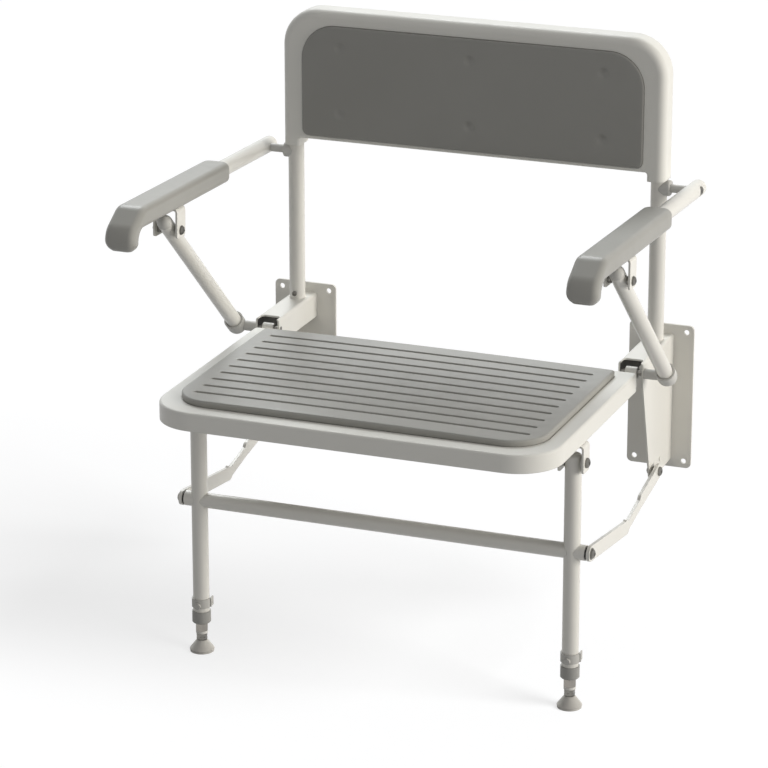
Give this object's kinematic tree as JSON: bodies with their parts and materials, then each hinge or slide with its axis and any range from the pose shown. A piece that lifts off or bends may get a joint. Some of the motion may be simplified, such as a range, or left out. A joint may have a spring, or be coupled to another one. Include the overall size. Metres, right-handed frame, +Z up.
{
  "type": "padded shower seat",
  "caption": "Wall-mounted fold-up shower seat with a grooved padded seat, padded backrest on posts, lift-up padded arms on struts and a folding leg frame with extending feet.",
  "frame": {"origin": "on the wall, midway between the two wall plates, at the centre height of their bolt patterns", "axes": "+X to the viewer's right, +Y into the wall, +Z up; the seat faces -Y"},
  "size_m": [0.762, 0.595, 0.9405],
  "materials": {
    "coated_white": "satin powder coat",
    "moulded_white": "satin moulded",
    "pad_grey": "soft integral skin",
    "dark_steel": "bright zinc",
    "collar_grey": "moulded",
    "cup_grey": "moulded",
    "ferrule_grey": "moulded",
    "foot_grey": "moulded",
    "inner_tube": "drawn tube",
    "plug_black": "moulded",
    "plug_white": "moulded"
  },
  "bodies": {
    "wall_frame": {"left_wall_plate": "coated_white", "right_wall_plate": "coated_white", "left_bracket_arm": "coated_white", "right_bracket_arm": "coated_white", "left_back_post": "coated_white", "right_back_post": "coated_white", "post_screws": "dark_steel", "backrest_shell": "moulded_white", "back_pad": "pad_grey", "back_pad_screws": "dark_steel", "hinge_pins": "dark_steel", "left_arm_collar": "collar_grey", "right_arm_collar": "collar_grey", "arm_pivot_bolts": "dark_steel", "link_pivot_bolts": "dark_steel"},
    "seat": {"seat_frame": "moulded_white", "seat_pad": "pad_grey", "seat_pad_screws": "dark_steel", "left_hinge_lug": "coated_white", "right_hinge_lug": "coated_white", "left_leg_hanger": "coated_white", "right_leg_hanger": "coated_white", "leg_pivot_bolts": "dark_steel", "leg_pivot_bushes": "collar_grey"},
    "leg_frame": {"left_leg_tube": "coated_white", "right_leg_tube": "coated_white", "crossbar": "coated_white", "crossbar_plugs": "plug_black", "left_leg_ferrule": "ferrule_grey", "right_leg_ferrule": "ferrule_grey"},
    "left_link": {"left_link_bar": "coated_white", "left_link_end_bolt": "dark_steel"},
    "left_arm": {"left_arm_tube": "coated_white", "left_arm_pad": "pad_grey", "left_strut_fork": "coated_white", "left_strut_bolt": "dark_steel"},
    "left_strut": {"left_strut_tube": "coated_white", "left_strut_cap": "cup_grey"},
    "left_cup": {"left_strut_cup": "cup_grey"},
    "left_extension": {"left_leg_extension": "inner_tube", "left_extension_plug": "plug_white"},
    "left_foot": {"left_foot_stud": "dark_steel", "left_foot_pad": "foot_grey"},
    "left_clip": {"left_leg_clip": "cup_grey"},
    "right_link": {"right_link_bar": "coated_white", "right_link_end_bolt": "dark_steel"},
    "right_arm": {"right_arm_tube": "coated_white", "right_arm_pad": "pad_grey", "right_strut_fork": "coated_white", "right_strut_bolt": "dark_steel"},
    "right_strut": {"right_strut_tube": "coated_white", "right_strut_cap": "cup_grey"},
    "right_cup": {"right_strut_cup": "cup_grey"},
    "right_extension": {"right_leg_extension": "inner_tube", "right_extension_plug": "plug_white"},
    "right_foot": {"right_foot_stud": "dark_steel", "right_foot_pad": "foot_grey"},
    "right_clip": {"right_leg_clip": "cup_grey"}
  },
  "joints": [
    {"name": "seat_fold", "type": "hinge", "parent": "wall_frame", "child": "seat", "pos_m": [0, -0.155, 0.084], "axis": [-1, 0, 0], "range_deg": [0, 85]},
    {"name": "leg_fold", "type": "hinge", "parent": "seat", "child": "leg_frame", "pos_m": [0, -0.433, 0.033], "axis": [1, 0, 0], "range_deg": [0, 85.7]},
    {"name": "left_link_swing", "type": "hinge", "parent": "wall_frame", "child": "left_link", "pos_m": [-0.3265, -0.1, -0.092], "axis": [-1, 0, 0], "range_deg": [0, 70.4]},
    {"name": "left_arm_fold", "type": "hinge", "parent": "wall_frame", "child": "left_arm", "pos_m": [-0.357, -0.0375, 0.3465], "axis": [-1, 0, 0], "range_deg": [0, 92]},
    {"name": "left_strut_swing", "type": "hinge", "parent": "left_arm", "child": "left_strut", "pos_m": [-0.357, -0.404, 0.30997], "axis": [1, 0, 0], "range_deg": [0, 25]},
    {"name": "left_cup_turn", "type": "hinge", "parent": "wall_frame", "child": "left_cup", "pos_m": [-0.34, -0.155, 0.084], "axis": [-1, 0, 0], "range_deg": [0, 68]},
    {"name": "left_leg_extend", "type": "slide", "parent": "leg_frame", "child": "left_extension", "axis": [0, 0, -1], "range_m": [0, 0.075]},
    {"name": "left_foot_level", "type": "slide", "parent": "left_extension", "child": "left_foot", "axis": [0, 0, -1], "range_m": [0, 0.012]},
    {"name": "left_clip_pull", "type": "slide", "parent": "leg_frame", "child": "left_clip", "axis": [0, -1, 0], "range_m": [0, 0.02]},
    {"name": "right_link_swing", "type": "hinge", "parent": "wall_frame", "child": "right_link", "pos_m": [0.3265, -0.1, -0.092], "axis": [-1, 0, 0], "range_deg": [0, 70.4]},
    {"name": "right_arm_fold", "type": "hinge", "parent": "wall_frame", "child": "right_arm", "pos_m": [0.357, -0.0375, 0.3465], "axis": [-1, 0, 0], "range_deg": [0, 92]},
    {"name": "right_strut_swing", "type": "hinge", "parent": "right_arm", "child": "right_strut", "pos_m": [0.357, -0.404, 0.30997], "axis": [1, 0, 0], "range_deg": [0, 25]},
    {"name": "right_cup_turn", "type": "hinge", "parent": "wall_frame", "child": "right_cup", "pos_m": [0.34, -0.155, 0.084], "axis": [-1, 0, 0], "range_deg": [0, 68]},
    {"name": "right_leg_extend", "type": "slide", "parent": "leg_frame", "child": "right_extension", "axis": [0, 0, -1], "range_m": [0, 0.075]},
    {"name": "right_foot_level", "type": "slide", "parent": "right_extension", "child": "right_foot", "axis": [0, 0, -1], "range_m": [0, 0.012]},
    {"name": "right_clip_pull", "type": "slide", "parent": "leg_frame", "child": "right_clip", "axis": [0, -1, 0], "range_m": [0, 0.02]}
  ],
  "couplings": [
    {"joint": "leg_fold", "follows": "seat_fold", "ratio": 1.0023},
    {"joint": "left_link_swing", "follows": "seat_fold", "ratio": 0.8228},
    {"joint": "left_strut_swing", "follows": "left_arm_fold", "ratio": 0.2659},
    {"joint": "left_cup_turn", "follows": "left_arm_fold", "ratio": 0.7341},
    {"joint": "right_link_swing", "follows": "seat_fold", "ratio": 0.8228},
    {"joint": "right_strut_swing", "follows": "right_arm_fold", "ratio": 0.2659},
    {"joint": "right_cup_turn", "follows": "right_arm_fold", "ratio": 0.7341}
  ]
}
